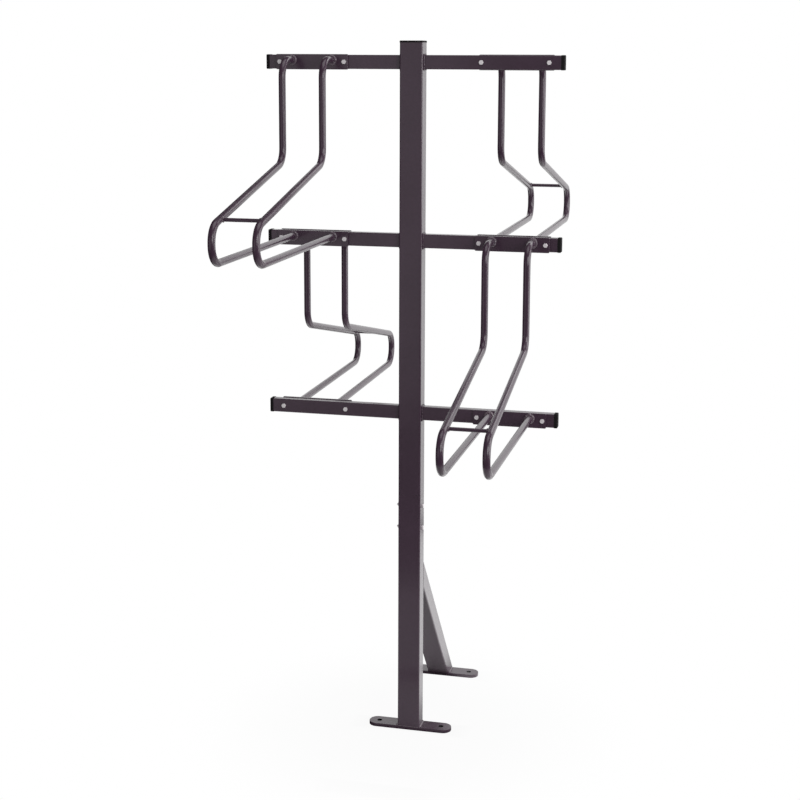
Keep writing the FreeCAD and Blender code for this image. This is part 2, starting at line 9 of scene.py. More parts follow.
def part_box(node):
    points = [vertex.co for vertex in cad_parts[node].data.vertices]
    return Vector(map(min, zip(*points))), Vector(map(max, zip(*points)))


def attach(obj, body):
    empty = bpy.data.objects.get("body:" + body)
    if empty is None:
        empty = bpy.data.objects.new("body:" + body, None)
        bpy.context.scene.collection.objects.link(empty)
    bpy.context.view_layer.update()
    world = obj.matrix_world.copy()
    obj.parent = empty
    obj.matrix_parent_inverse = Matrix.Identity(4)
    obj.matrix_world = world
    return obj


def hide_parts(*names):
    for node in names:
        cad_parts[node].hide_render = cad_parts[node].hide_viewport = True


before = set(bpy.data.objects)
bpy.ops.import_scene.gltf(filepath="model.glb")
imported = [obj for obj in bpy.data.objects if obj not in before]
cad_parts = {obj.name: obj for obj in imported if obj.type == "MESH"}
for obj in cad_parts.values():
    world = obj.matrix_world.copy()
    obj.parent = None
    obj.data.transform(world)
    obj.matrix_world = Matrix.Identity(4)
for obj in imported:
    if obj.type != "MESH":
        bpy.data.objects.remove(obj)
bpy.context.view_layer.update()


# Foot plates
# Two lengths of hot-rolled flat steel bar with rounded ends, drilled for ground anchors.
# The front one is welded under the post, the rear one under the brace, and both are powder-coated.

MM = 0.001
FEET = ("front_foot_plate", "rear_foot_plate")


def linear(srgb_hex):
    """Linear colour of an sRGB hex value."""
    channels = [int(srgb_hex[i:i + 2], 16) / 255 for i in (1, 3, 5)]
    return [c / 12.92 if c <= 0.04045 else ((c + 0.055) / 1.055) ** 2.4 for c in channels] + [1.0]


def add_node(owner, kind, inputs=None, **settings):
    """Add a node to a material or world. Each input is a value, or an output socket to link."""
    tree = owner.node_tree
    node = tree.nodes.new(kind)
    for name, value in settings.items():
        setattr(node, name, value)
    for name, value in (inputs or {}).items():
        if isinstance(value, bpy.types.NodeSocket):
            tree.links.new(value, node.inputs[name])
        else:
            node.inputs[name].default_value = value
    return node


def new_material(name):
    """Material with an empty node tree."""
    material = bpy.data.materials.new(name)
    material.use_nodes = True
    material.node_tree.nodes.clear()
    return material


def finish_nodes(names, material):
    """Give CAD nodes a finish."""
    for name in names:
        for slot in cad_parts[name].material_slots:
            slot.material = material


# Polyester powder coat, sprayed and baked: charcoal with a plum cast under a satin skin.
# It is a little paler where it lies thin on edges, cloudy over a hand's length
# and mottled over about a centimetre.
CHARCOAL = "#40293c"
CHARCOAL_PALE = "#4b3247"
CHARCOAL_THIN = "#5a4d5a"
CLOUD_SIZE = 170 * MM
MOTTLE_SIZE = 9 * MM
MOTTLE_SHARE = 0.4
TONE_RANGE = (0.45, 0.95)
# Real orange peel is about 1 mm across. It is drawn coarser so that it shows.
PEEL_SIZE = 2.5 * MM
PEEL_DEPTH = 0.12 * MM
EDGE_WIDTH = 1.2 * MM
EDGE_PALENESS = 0.7
# Cosines of how far a rounded edge has turned where the paleness starts, and where it is full.
EDGE_TURN = (0.98, 0.80)
# Nearly all values of a noise lie between these two.
NOISE_RANGE = (0.3, 0.7)
GLOSS_SPREAD = (-0.05, 0.06)
POLYESTER_IOR = 1.57


def powder_coat(name, dark, pale, roughness, skin, skin_roughness, peel_strength, thin_edges):
    """Coat whose colour wanders between two tones, under a clear skin."""
    coat = new_material(name)
    place = add_node(coat, "ShaderNodeTexCoord").outputs["Object"]
    cloud = add_node(coat, "ShaderNodeTexNoise", {"Vector": place, "Scale": 1 / CLOUD_SIZE, "Detail": 3.0})
    mottle = add_node(coat, "ShaderNodeTexNoise",
                      {"Vector": place, "Scale": 1 / MOTTLE_SIZE, "Detail": 2.0})
    peel = add_node(coat, "ShaderNodeTexNoise", {"Vector": place, "Scale": 1 / PEEL_SIZE, "Detail": 1.0})
    tone = add_node(coat, "ShaderNodeMath",
                    {0: mottle.outputs["Fac"], 1: MOTTLE_SHARE, 2: cloud.outputs["Fac"]},
                    operation="MULTIPLY_ADD")
    paler = add_node(coat, "ShaderNodeMapRange",
                     {"Value": tone.outputs[0], "From Min": TONE_RANGE[0], "From Max": TONE_RANGE[1]})
    # Inputs 6 and 7 and output 2 of a Mix node are its colours.
    colour = add_node(coat, "ShaderNodeMix",
                      {"Factor": paler.outputs[0], 6: linear(dark), 7: linear(pale)},
                      data_type="RGBA").outputs[2]
    if thin_edges:
        rounded = add_node(coat, "ShaderNodeBevel", {"Radius": EDGE_WIDTH}, samples=4)
        true_face = add_node(coat, "ShaderNodeNewGeometry").outputs["Normal"]
        agree = add_node(coat, "ShaderNodeVectorMath", {0: rounded.outputs[0], 1: true_face},
                         operation="DOT_PRODUCT")
        edge = add_node(coat, "ShaderNodeMapRange",
                        {"Value": agree.outputs["Value"], "From Min": EDGE_TURN[0],
                         "From Max": EDGE_TURN[1], "To Max": EDGE_PALENESS})
        colour = add_node(coat, "ShaderNodeMix",
                          {"Factor": edge.outputs[0], 6: colour, 7: linear(CHARCOAL_THIN)},
                          data_type="RGBA").outputs[2]
    gloss = add_node(coat, "ShaderNodeMapRange",
                     {"Value": cloud.outputs["Fac"], "From Min": NOISE_RANGE[0], "From Max": NOISE_RANGE[1],
                      "To Min": roughness + GLOSS_SPREAD[0], "To Max": roughness + GLOSS_SPREAD[1]})
    bump = add_node(coat, "ShaderNodeBump",
                    {"Height": peel.outputs["Fac"], "Strength": peel_strength, "Distance": PEEL_DEPTH})
    surface = add_node(coat, "ShaderNodeBsdfPrincipled",
                       {"Base Color": colour, "Roughness": gloss.outputs[0], "IOR": POLYESTER_IOR,
                        "Normal": bump.outputs[0], "Coat Weight": skin, "Coat Roughness": skin_roughness,
                        "Coat IOR": POLYESTER_IOR})
    add_node(coat, "ShaderNodeOutputMaterial", {"Surface": surface.outputs[0]})
    return coat


# Hot-rolled bar has a rough skin, so the baked coat is more matt on it than on the tubes.
matt_charcoal = powder_coat("matt_charcoal_powder_coat", CHARCOAL, CHARCOAL_PALE, roughness=0.45, skin=0.9,
                            skin_roughness=0.24, peel_strength=0.25, thin_edges=False)
finish_nodes(FEET, matt_charcoal)

# Painted shade: little light gets into the drilled anchor holes, so their walls are painted near black.
# The painted dark spot is a little wider than a hole, so that it takes in the whole wall.
HOLE_SHADE_BLACK = "#0a090a"
HOLE_SHADE_RADIUS = 7.3 * MM
HOLE_BESIDE_MIDDLE = 91 * MM
FOOT_PITCH = 412 * MM

spot = add_node(matt_charcoal, "ShaderNodeSeparateXYZ",
                {0: add_node(matt_charcoal, "ShaderNodeTexCoord").outputs["Object"]})
either_end = add_node(matt_charcoal, "ShaderNodeMath", {0: spot.outputs["X"]}, operation="ABSOLUTE")
along = add_node(matt_charcoal, "ShaderNodeMath", {0: either_end.outputs[0], 1: HOLE_BESIDE_MIDDLE},
                 operation="SUBTRACT")
either_foot = add_node(matt_charcoal, "ShaderNodeMath", {0: spot.outputs["Y"], 1: FOOT_PITCH / 2},
                       operation="PINGPONG")
from_axis = add_node(matt_charcoal, "ShaderNodeCombineXYZ",
                     {0: along.outputs[0], 1: either_foot.outputs[0]})
reach = add_node(matt_charcoal, "ShaderNodeVectorMath", {0: from_axis.outputs[0]}, operation="LENGTH")
in_hole = add_node(matt_charcoal, "ShaderNodeMath", {0: reach.outputs["Value"], 1: HOLE_SHADE_RADIUS},
                   operation="LESS_THAN")
coated = matt_charcoal.node_tree.nodes["Principled BSDF"].inputs["Base Color"]
# The coat's colour is mixed to near black inside the holes: painted shade.
hole_shade_mix = add_node(matt_charcoal, "ShaderNodeMix",
                   {"Factor": in_hole.outputs[0], 6: coated.links[0].from_socket, 7: linear(HOLE_SHADE_BLACK)},
                   data_type="RGBA")
matt_charcoal.node_tree.links.new(hole_shade_mix.outputs[2], coated)


# Post
# Two lengths of rectangular steel tube, one above the other, over a sleeve that joins them at the seam.
# The lower one is welded to the front foot plate: fillets on its sides, flush seams in front and behind.

satin_charcoal = powder_coat("satin_charcoal_powder_coat", CHARCOAL, CHARCOAL_PALE, roughness=0.42, skin=1.0,
                             skin_roughness=0.18, peel_strength=0.12, thin_edges=True)
finish_nodes(("lower_post", "upper_post"), satin_charcoal)

# Cold-drawn steel, left bare inside the post: grey, with faint draw lines along its length.
DRAWN_GREY = "#8f8f93"
DRAWN_GREY_DULL = "#747479"
# Real draw lines are about 0.1 mm wide. They are drawn coarser so that they show.
DRAW_LINE_WIDTH = 0.6 * MM
DRAW_LINE_LENGTH = 60 * MM
DRAWN_ROUGHNESS = (0.32, 0.48)

bare_steel = new_material("bare_cold_drawn_steel")
place = add_node(bare_steel, "ShaderNodeTexCoord").outputs["Object"]
drawn = add_node(bare_steel, "ShaderNodeMapping",
                 {"Vector": place,
                  "Scale": (1 / DRAW_LINE_WIDTH, 1 / DRAW_LINE_WIDTH, 1 / DRAW_LINE_LENGTH)})
lines = add_node(bare_steel, "ShaderNodeTexNoise",
                 {"Vector": drawn.outputs[0], "Scale": 1.0, "Detail": 2.0})
colour = add_node(bare_steel, "ShaderNodeMix",
                  {"Factor": lines.outputs["Fac"], 6: linear(DRAWN_GREY), 7: linear(DRAWN_GREY_DULL)},
                  data_type="RGBA")
gloss = add_node(bare_steel, "ShaderNodeMapRange",
                 {"Value": lines.outputs["Fac"], "To Min": DRAWN_ROUGHNESS[0], "To Max": DRAWN_ROUGHNESS[1]})
surface = add_node(bare_steel, "ShaderNodeBsdfPrincipled",
                   {"Base Color": colour.outputs[2], "Metallic": 1.0, "Roughness": gloss.outputs[0]})
add_node(bare_steel, "ShaderNodeOutputMaterial", {"Surface": surface.outputs[0]})
finish_nodes(("splice_sleeve",), bare_steel)

# The coat flows off weld crests and stays thin there. The beads are painted paler still, as a painted
# highlight.
WELD_PAINTED_HIGHLIGHT = "#76656f"
weld_coat_painted_highlight = powder_coat("glossy_charcoal_over_weld_painted_highlight", CHARCOAL_THIN, WELD_PAINTED_HIGHLIGHT, roughness=0.30,
                               skin=1.0, skin_roughness=0.16, peel_strength=0.03, thin_edges=False)

# Each puddle of weld metal freezes half a width past the last one. It is shorter than it is wide,
# and up to a fifth wider or narrower than the bead should be.
WELD_ADVANCE = 0.50
WELD_UNEVENNESS = 0.20
PUDDLE_LENGTH = 0.8
PUDDLE_SIDES = 10
PUDDLE_RINGS = 6
WELD_SKIN = 0.7 * MM
WELD_SEED = 6
weld_hand = random.Random(WELD_SEED)

puddle = bpy.data.meshes.new("weld_puddle")
bm = bmesh.new()
bmesh.ops.create_uvsphere(bm, u_segments=PUDDLE_SIDES, v_segments=PUDDLE_RINGS, radius=1.0)
bm.to_mesh(puddle)
bm.free()


def weld_bead(name, seams, width, coat):
    """Bead along seams: overlapping frozen puddles from corner to corner, under one skin of coat."""
    bm = bmesh.new()
    for corners in seams:
        for start, end in zip(corners, corners[1:]):
            run = end - start
            puddles = max(1, round(run.length / (WELD_ADVANCE * width)))
            along = run.to_track_quat("Z", "Y").to_matrix().to_4x4()
            for i in range(puddles):
                across = width / 2 * weld_hand.uniform(1 - WELD_UNEVENNESS, 1 + WELD_UNEVENNESS)
                size = Matrix.Diagonal((across, across, PUDDLE_LENGTH * across, 1.0))
                place = Matrix.Translation(start.lerp(end, i / puddles))
                bm.from_mesh(puddle)
                bmesh.ops.transform(bm, matrix=place @ along @ size, verts=bm.verts[-len(puddle.vertices):])
    puddles_mesh = bpy.data.meshes.new(name + "_puddles")
    bm.to_mesh(puddles_mesh)
    bm.free()
    bead = bpy.data.objects.new(name, puddles_mesh)
    bpy.context.scene.collection.objects.link(bead)
    skin = bead.modifiers.new("skin", "REMESH")
    skin.mode = "VOXEL"
    skin.voxel_size = WELD_SKIN
    skin.use_smooth_shade = True
    bead.data = bpy.data.meshes.new_from_object(bead.evaluated_get(bpy.context.evaluated_depsgraph_get()))
    bead.modifiers.clear()
    bead.data.materials.append(coat)
    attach(bead, "root")


FILLET_WIDTH = 7.0 * MM
FLUSH_WIDTH = 2.6 * MM
# Fillets lie with their middle this far out of the corner that they fill.
FILLET_OUT = 0.8 * MM

post_low, post_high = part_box("lower_post")
foot_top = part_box("front_foot_plate")[1].z
fillet_height = foot_top + FILLET_OUT
post_side = post_high.x + FILLET_OUT
side_end = post_high.y - FILLET_WIDTH / 2
side_fillets = [[Vector((side * post_side, -side_end, fillet_height)),
                 Vector((side * post_side, side_end, fillet_height))] for side in (-1, 1)]
weld_bead("post_foot_side_welds", side_fillets, FILLET_WIDTH, weld_coat_painted_highlight)
front_end = post_high.x - FLUSH_WIDTH
flush_seams = [[Vector((-front_end, face, foot_top)), Vector((front_end, face, foot_top))]
               for face in (post_low.y, post_high.y)]
weld_bead("post_foot_flush_welds", flush_seams, FLUSH_WIDTH, weld_coat_painted_highlight)


# Rear brace
# A leaning length of the post's tube, mitred at both ends and powder-coated with the rest.
# It is welded to the back of the post above and below, and along its sides to the rear foot plate.

finish_nodes(("rear_brace",), satin_charcoal)

# Angle between the brace and the floor.
BRACE_LEAN = math.radians(49.0)
brace_depth = post_high.y - post_low.y
brace_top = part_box("rear_brace")[1].z
brace_under = brace_top - brace_depth / math.cos(BRACE_LEAN)
brace_joint = post_high.y + FILLET_OUT
across_end = post_high.x - FILLET_WIDTH / 2
across_seams = [[Vector((-across_end, brace_joint, height)), Vector((across_end, brace_joint, height))]
                for height in (brace_top + FILLET_OUT, brace_under - FILLET_OUT)]
weld_bead("brace_post_welds", across_seams, FILLET_WIDTH, weld_coat_painted_highlight)
rear_low, rear_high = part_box("rear_foot_plate")
rear_start = rear_low.y + FILLET_WIDTH / 2
rear_end = rear_high.y - FILLET_WIDTH / 2
rear_fillets = [[Vector((side * post_side, rear_start, fillet_height)),
                 Vector((side * post_side, rear_end, fillet_height))] for side in (-1, 1)]
weld_bead("brace_foot_welds", rear_fillets, FILLET_WIDTH, weld_coat_painted_highlight)


# Crossbars
# Three rectangular steel tubes that pass through slots in the upper post.
# A weld runs round each of them on both sides of the post.

LEVELS = ("top", "middle", "lower")
finish_nodes([level + "_crossbar" for level in LEVELS], satin_charcoal)

# The coat lies thick in these corners, so the beads are as dark as the tubes.
satin_weld_coat = powder_coat("satin_charcoal_over_weld", CHARCOAL, CHARCOAL_PALE, roughness=0.42, skin=1.0,
                              skin_roughness=0.18, peel_strength=0.03, thin_edges=False)
BAR_WELD_WIDTH = 5.0 * MM
for level in LEVELS:
    bar_low, bar_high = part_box(level + "_crossbar")
    front, back = bar_low.y - FILLET_OUT, bar_high.y + FILLET_OUT
    under, over = bar_low.z - FILLET_OUT, bar_high.z + FILLET_OUT
    rounds = []
    for side in (-1, 1):
        x = side * post_side
        corners = [Vector((x, front, under)), Vector((x, back, under)), Vector((x, back, over)),
                   Vector((x, front, over))]
        rounds.append(corners + corners[:1])
    weld_bead(level + "_crossbar_welds", rounds, BAR_WELD_WIDTH, satin_weld_coat)


# Plastic caps
# Press-in polyethylene caps in the ends of the crossbars and the top of the post.
# They are moulded in black, matt from a fine spark-eroded grain in the mould.

BLACK = "#151214"
BLACK_PALE = "#1e1b1d"
FLOW_SIZE = 14 * MM
# The grain is about 0.1 mm across. It is drawn coarser so that it shows.
GRAIN_SIZE = 0.8 * MM
GRAIN_DEPTH = 0.08 * MM
GRAIN_STRENGTH = 0.5
GRAIN_ROUGHNESS = (0.78, 0.90)
# The grain scatters some of the shine.
GRAIN_SHINE = 0.3
POLYETHYLENE_IOR = 1.51

matt_black = new_material("moulded_matt_black_polyethylene")
place = add_node(matt_black, "ShaderNodeTexCoord").outputs["Object"]
flow = add_node(matt_black, "ShaderNodeTexNoise",
                {"Vector": place, "Scale": 1 / FLOW_SIZE, "Detail": 2.0})
grain = add_node(matt_black, "ShaderNodeTexNoise",
                 {"Vector": place, "Scale": 1 / GRAIN_SIZE, "Detail": 2.0})
colour = add_node(matt_black, "ShaderNodeMix",
                  {"Factor": flow.outputs["Fac"], 6: linear(BLACK), 7: linear(BLACK_PALE)},
                  data_type="RGBA")
gloss = add_node(matt_black, "ShaderNodeMapRange",
                 {"Value": grain.outputs["Fac"], "From Min": NOISE_RANGE[0], "From Max": NOISE_RANGE[1],
                  "To Min": GRAIN_ROUGHNESS[0], "To Max": GRAIN_ROUGHNESS[1]})
bump = add_node(matt_black, "ShaderNodeBump",
                {"Height": grain.outputs["Fac"], "Strength": GRAIN_STRENGTH, "Distance": GRAIN_DEPTH})
surface = add_node(matt_black, "ShaderNodeBsdfPrincipled",
                   {"Base Color": colour.outputs[2], "Roughness": gloss.outputs[0], "IOR": POLYETHYLENE_IOR,
                    "Specular IOR Level": GRAIN_SHINE, "Normal": bump.outputs[0]})
add_node(matt_black, "ShaderNodeOutputMaterial", {"Surface": surface.outputs[0]})

bar_caps = ["%s_crossbar_%s_cap" % (level, side) for level in LEVELS for side in ("left", "right")]
finish_nodes(bar_caps + ["post_top_cap"], matt_black)


# Wheel holders
# Each is two bent round tubes with a thin rod between them, welded to two flat mounting plates.
# The tubes are drawn smooth, so the same coat lies glossier on them than on the rolled plates and the post.

HOLDERS = ("front_left", "back_right", "back_left", "front_right")
TUBES = ("outer_tube", "inner_tube")
glossy_charcoal = powder_coat("glossy_charcoal_powder_coat", CHARCOAL, CHARCOAL_PALE, roughness=0.34,
                              skin=0.8, skin_roughness=0.20, peel_strength=0.02, thin_edges=False)
RING_SIDES = 30
RING_WIDTH = 9.0 * MM
ROD_RING_SIDES = 16
ROD_RING_WIDTH = 3.4 * MM


def ring(centre, axis, radius, sides):
    """Closed ring of corners round an axis."""
    turn = axis.to_track_quat("Z", "Y").to_matrix()
    angles = [2 * math.pi * i / sides for i in range(sides)]
    corners = [centre + turn @ Vector((radius * math.cos(a), radius * math.sin(a), 0.0)) for a in angles]
    return corners + corners[:1]


for holder in HOLDERS:
    finish_nodes(["%s_%s" % (holder, tube) for tube in TUBES], glossy_charcoal)
    finish_nodes([holder + "_cross_rod"], glossy_charcoal)
    finish_nodes([holder + "_upper_plate", holder + "_lower_plate"], satin_charcoal)
    facing = -1 if holder.startswith("front") else 1
    plate_low, plate_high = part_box(holder + "_upper_plate")
    plate_face = plate_low.y if facing < 0 else plate_high.y
    rod_low, rod_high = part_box(holder + "_cross_rod")
    rod_middle = (rod_low + rod_high) / 2
    rod_radius = (rod_high.z - rod_low.z) / 2
    tube_rings = []
    rod_rings = []
    for tube in TUBES:
        tube_low, tube_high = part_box("%s_%s" % (holder, tube))
        tube_radius = (tube_high.x - tube_low.x) / 2
        tube_middle = (tube_low.x + tube_high.x) / 2
        for height in (tube_low.z + tube_radius, tube_high.z - tube_radius):
            centre = Vector((tube_middle, plate_face + facing * FILLET_OUT, height))
            tube_rings.append(ring(centre, Vector((0, 1, 0)), tube_radius + FILLET_OUT, RING_SIDES))
        rod_end = rod_high.x if tube_middle > rod_middle.x else rod_low.x
        centre = Vector((rod_end, rod_middle.y, rod_middle.z))
        rod_rings.append(ring(centre, Vector((1, 0, 0)), rod_radius + FILLET_OUT, ROD_RING_SIDES))
    weld_bead(holder + "_tube_welds", tube_rings, RING_WIDTH, weld_coat_painted_highlight)
    weld_bead(holder + "_rod_welds", rod_rings, ROD_RING_WIDTH, weld_coat_painted_highlight)


# Bolts, nuts and washers
# Quarter-inch hexagon bolts hold the mounting plates to the crossbars and the lower post to its sleeve.
# They are cold-headed steel with a rolled thread that shows past the nuts, and all of it is zinc plated.

# The plating is painted near white and left only a little metallic, so the heads show bright: a painted
# reflection.
ZINC = "#fcf7f9"
ZINC_DULL = "#efe9ed"
PLATING_CLOUD = 4 * MM
# The crystals of the plating are far finer than this. They are drawn coarser so that they show.
PLATING_GRAIN = 0.7 * MM
PLATING_DEPTH = 0.04 * MM
PLATING_STRENGTH = 0.3
PLATING_ROUGHNESS = (0.40, 0.52)
PLATING_METALLIC = 0.1

zinc_painted_bright = new_material("zinc_plating_painted_bright")
place = add_node(zinc_painted_bright, "ShaderNodeTexCoord").outputs["Object"]
cloud = add_node(zinc_painted_bright, "ShaderNodeTexNoise",
                 {"Vector": place, "Scale": 1 / PLATING_CLOUD, "Detail": 3.0})
fine = add_node(zinc_painted_bright, "ShaderNodeTexNoise",
                {"Vector": place, "Scale": 1 / PLATING_GRAIN, "Detail": 2.0})
colour = add_node(zinc_painted_bright, "ShaderNodeMix",
                  {"Factor": cloud.outputs["Fac"], 6: linear(ZINC), 7: linear(ZINC_DULL)},
                  data_type="RGBA")
gloss = add_node(zinc_painted_bright, "ShaderNodeMapRange",
                 {"Value": cloud.outputs["Fac"], "From Min": NOISE_RANGE[0], "From Max": NOISE_RANGE[1],
                  "To Min": PLATING_ROUGHNESS[0], "To Max": PLATING_ROUGHNESS[1]})
bump = add_node(zinc_painted_bright, "ShaderNodeBump",
                {"Height": fine.outputs["Fac"], "Strength": PLATING_STRENGTH, "Distance": PLATING_DEPTH})
surface = add_node(zinc_painted_bright, "ShaderNodeBsdfPrincipled",
                   {"Base Color": colour.outputs[2], "Metallic": PLATING_METALLIC,
                    "Roughness": gloss.outputs[0], "Normal": bump.outputs[0]})
add_node(zinc_painted_bright, "ShaderNodeOutputMaterial", {"Surface": surface.outputs[0]})
finish_nodes(("crossbar_washers", "crossbar_nuts", "splice_nuts"), zinc_painted_bright)

BOLT_RADIUS = 3.175 * MM
SHANK_STEPS = 32
HEAD_FLATS = 11.11 * MM
HEAD_HEIGHT = 4.14 * MM
HEAD_STEPS = 48
# The top of the head is turned: a round face, with a chamfer of 30 degrees from there to the corners.
HEAD_TURNED = 0.48 * HEAD_FLATS
CHAMFER_SLOPE = math.tan(math.radians(30))
# Coarse thread with 20 turns to the inch. The shank ends in a blunt cone.
THREAD_PITCH = 1.27 * MM
THREAD_ROOT = 2.49 * MM
THREAD_LENGTH = 19.05 * MM
THREAD_STEPS = 24
# The thread is spun longer than it has to be, and both its ends are then cut square.
SPARE_TURNS = 2
POINT_RADIUS = 2.3 * MM
MERGE = 0.001 * MM


def threaded_bolt(length):
    """Mesh of a bolt along Z: its head's seat is at z = 0, the head above it and the shank below."""
    bm = bmesh.new()
    turns = math.ceil(THREAD_LENGTH / THREAD_PITCH) + SPARE_TURNS
    start = -length - THREAD_PITCH
    ridge = [bm.verts.new((radius, 0.0, start + height * THREAD_PITCH))
             for radius, height in ((THREAD_ROOT, -0.5), (BOLT_RADIUS, 0.0), (THREAD_ROOT, 0.5))]
    sides = [bm.edges.new(pair) for pair in zip(ridge, ridge[1:])]
    bmesh.ops.spin(bm, geom=ridge + sides, cent=(0, 0, 0), axis=(0, 0, 1),
                   dvec=(0, 0, THREAD_PITCH / THREAD_STEPS), angle=2 * math.pi * turns,
                   steps=THREAD_STEPS * turns)
    bmesh.ops.remove_doubles(bm, verts=bm.verts, dist=MERGE)
    for height, outwards in ((-length, -1), (THREAD_LENGTH - length, 1)):
        cut = bmesh.ops.bisect_plane(bm, geom=bm.verts[:] + bm.edges[:] + bm.faces[:], dist=MERGE,
                                     plane_co=(0, 0, height), plane_no=(0, 0, outwards), clear_outer=True)
        rim = [part for part in cut["geom_cut"] if isinstance(part, bmesh.types.BMEdge)]
        bmesh.ops.holes_fill(bm, edges=rim)
    for vert in bm.verts:
        reach = vert.co.xy.length
        limit = POINT_RADIUS + vert.co.z + length
        if reach > limit:
            vert.co.xy *= limit / reach
    plain = length - THREAD_LENGTH
    bmesh.ops.create_cone(bm, cap_ends=True, segments=SHANK_STEPS, radius1=BOLT_RADIUS, radius2=BOLT_RADIUS,
                          depth=plain, matrix=Matrix.Translation((0, 0, -plain / 2)))
    bmesh.ops.create_cone(bm, cap_ends=True, segments=HEAD_STEPS, radius1=HEAD_FLATS, radius2=HEAD_FLATS,
                          depth=HEAD_HEIGHT, matrix=Matrix.Translation((0, 0, HEAD_HEIGHT / 2)))
    top = max(bm.faces, key=lambda face: face.calc_center_median().z)
    bmesh.ops.inset_region(bm, faces=[top], thickness=HEAD_TURNED)
    turned = set(top.verts)
    for vert in bm.verts:
        reach = vert.co.xy.length
        if vert in turned:
            vert.co.xy *= HEAD_TURNED / reach
        elif reach > BOLT_RADIUS + MERGE:
            from_flat = math.atan2(vert.co.y, vert.co.x) % (math.pi / 3) - math.pi / 6
            hexagon = HEAD_FLATS / 2 / math.cos(from_flat)
            vert.co.xy *= hexagon / reach
            if vert.co.z > MERGE:
                vert.co.z -= (hexagon - HEAD_TURNED) * CHAMFER_SLOPE
    bmesh.ops.recalc_face_normals(bm, faces=bm.faces)
    bolt = bpy.data.meshes.new("threaded_bolt")
    bm.to_mesh(bolt)
    bm.free()
    return bolt


def bolt_set(name, node, length, turn, seats):
    """Like bolts, one at each seat, in place of a CAD node."""
    bolt = threaded_bolt(length)
    bm = bmesh.new()
    for seat in seats:
        bm.from_mesh(bolt)
        bmesh.ops.transform(bm, matrix=Matrix.Translation(seat) @ turn,
                            verts=bm.verts[-len(bolt.vertices):])
    mesh = bpy.data.meshes.new(name)
    bm.to_mesh(mesh)
    bm.free()
    mesh.materials.append(zinc_painted_bright)
    bolts = bpy.data.objects.new(name, mesh)
    bpy.context.scene.collection.objects.link(bolts)
    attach(bolts, "root")
    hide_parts(node)


BOLT_BESIDE_MIDDLE = 91 * MM
# Room behind the last plate for a washer, a nut and a little thread.
BEHIND_PLATE = 10.2 * MM
SPLICE_PITCH = 64 * MM
head_in_front = Matrix.Rotation(math.pi / 2, 4, "X")
head_on_right = Matrix.Rotation(math.pi / 2, 4, "Y")
PLATES = ["%s_%s_plate" % (holder, end) for holder in HOLDERS for end in ("upper", "lower")]

seats = {1: [], 2: []}
lengths = {}
for level in LEVELS:
    bar_low, bar_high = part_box(level + "_crossbar")
    for side in (-1, 1):
        stack = [(low, high) for low, high in map(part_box, PLATES)
                 if low.x * side > 0 and bar_low.z < (low.z + high.z) / 2 < bar_high.z]
        front = min([bar_low.y] + [low.y for low, high in stack])
        back = max([bar_high.y] + [high.y for low, high in stack])
        lengths[len(stack)] = back + BEHIND_PLATE - front
        middle = (stack[0][0] + stack[0][1]) / 2
        for end in (-1, 1):
            seats[len(stack)].append(Vector((middle.x + end * BOLT_BESIDE_MIDDLE, front, middle.z)))
bolt_set("threaded_short_bolts", "crossbar_short_bolts", lengths[1], head_in_front, seats[1])
bolt_set("threaded_long_bolts", "crossbar_long_bolts", lengths[2], head_in_front, seats[2])

splice_low, splice_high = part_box("splice_bolts")
splice_middle = (splice_low.z + splice_high.z) / 2
splice_seats = [Vector((post_high.x, 0.0, splice_middle + end * SPLICE_PITCH / 2)) for end in (-1, 1)]
bolt_set("threaded_splice_bolts", "splice_bolts", post_high.x - splice_low.x, head_on_right, splice_seats)


# Floor and backdrop
# A sheet of matt white paper under the rack, which fades into a white surround and keeps the rack's shadow.
# It lies in shade close to the rack, and the coat mirrors it as dark there.

FLOOR_RADIUS = 1600 * MM
FLOOR_STEPS = 96
FLOOR_MIDDLE = (200 * MM, 250 * MM, 0.0)
FLOOR_WHITE = "#c6c6c6"
# Seen directly, the paper is white, a little less so near the post, where the shadow shows.
FLOOR_GLOW = 0.95
GLOW_NEAR = 150 * MM
GLOW_FAR = 700 * MM
# Mirrored in the coat, it is white only behind the post, outside the shade under the brace.
SHADE_BEHIND = (-50 * MM, 250 * MM)
SHADE_BESIDE = (100 * MM, 150 * MM)
SHADE_MIDDLE = -60 * MM
# Painted shade: along both foot plates the paper is painted near black, so it hardly throws light back.
FOOT_SHADE = "#1c1c1c"
FOOT_SHADE_DEEP = (32 * MM, 45 * MM)
FOOT_SHADE_WIDE = (130 * MM, 180 * MM)

floor_mesh = bpy.data.meshes.new("paper_floor")
bm = bmesh.new()
bmesh.ops.create_circle(bm, cap_ends=True, segments=FLOOR_STEPS, radius=FLOOR_RADIUS,
                        matrix=Matrix.Translation(FLOOR_MIDDLE))
bm.to_mesh(floor_mesh)
bm.free()
floor = bpy.data.objects.new("paper_floor", floor_mesh)
bpy.context.scene.collection.objects.link(floor)

paper = new_material("white_paper")
place = add_node(paper, "ShaderNodeTexCoord").outputs["Object"]
distance = add_node(paper, "ShaderNodeVectorMath", {0: place}, operation="LENGTH")
outwards = add_node(paper, "ShaderNodeMapRange",
                    {"Value": distance.outputs["Value"], "From Min": GLOW_NEAR, "From Max": GLOW_FAR,
                     "To Min": FLOOR_GLOW, "To Max": 1.0}, interpolation_type="SMOOTHSTEP")
spot = add_node(paper, "ShaderNodeSeparateXYZ", {0: place})
behind = add_node(paper, "ShaderNodeMapRange",
                  {"Value": spot.outputs["Y"], "From Min": SHADE_BEHIND[0], "From Max": SHADE_BEHIND[1]})
leftwards = add_node(paper, "ShaderNodeMath", {0: spot.outputs["X"], 1: SHADE_MIDDLE},
                     operation="SUBTRACT")
aside = add_node(paper, "ShaderNodeMath", {0: leftwards.outputs[0]}, operation="ABSOLUTE")
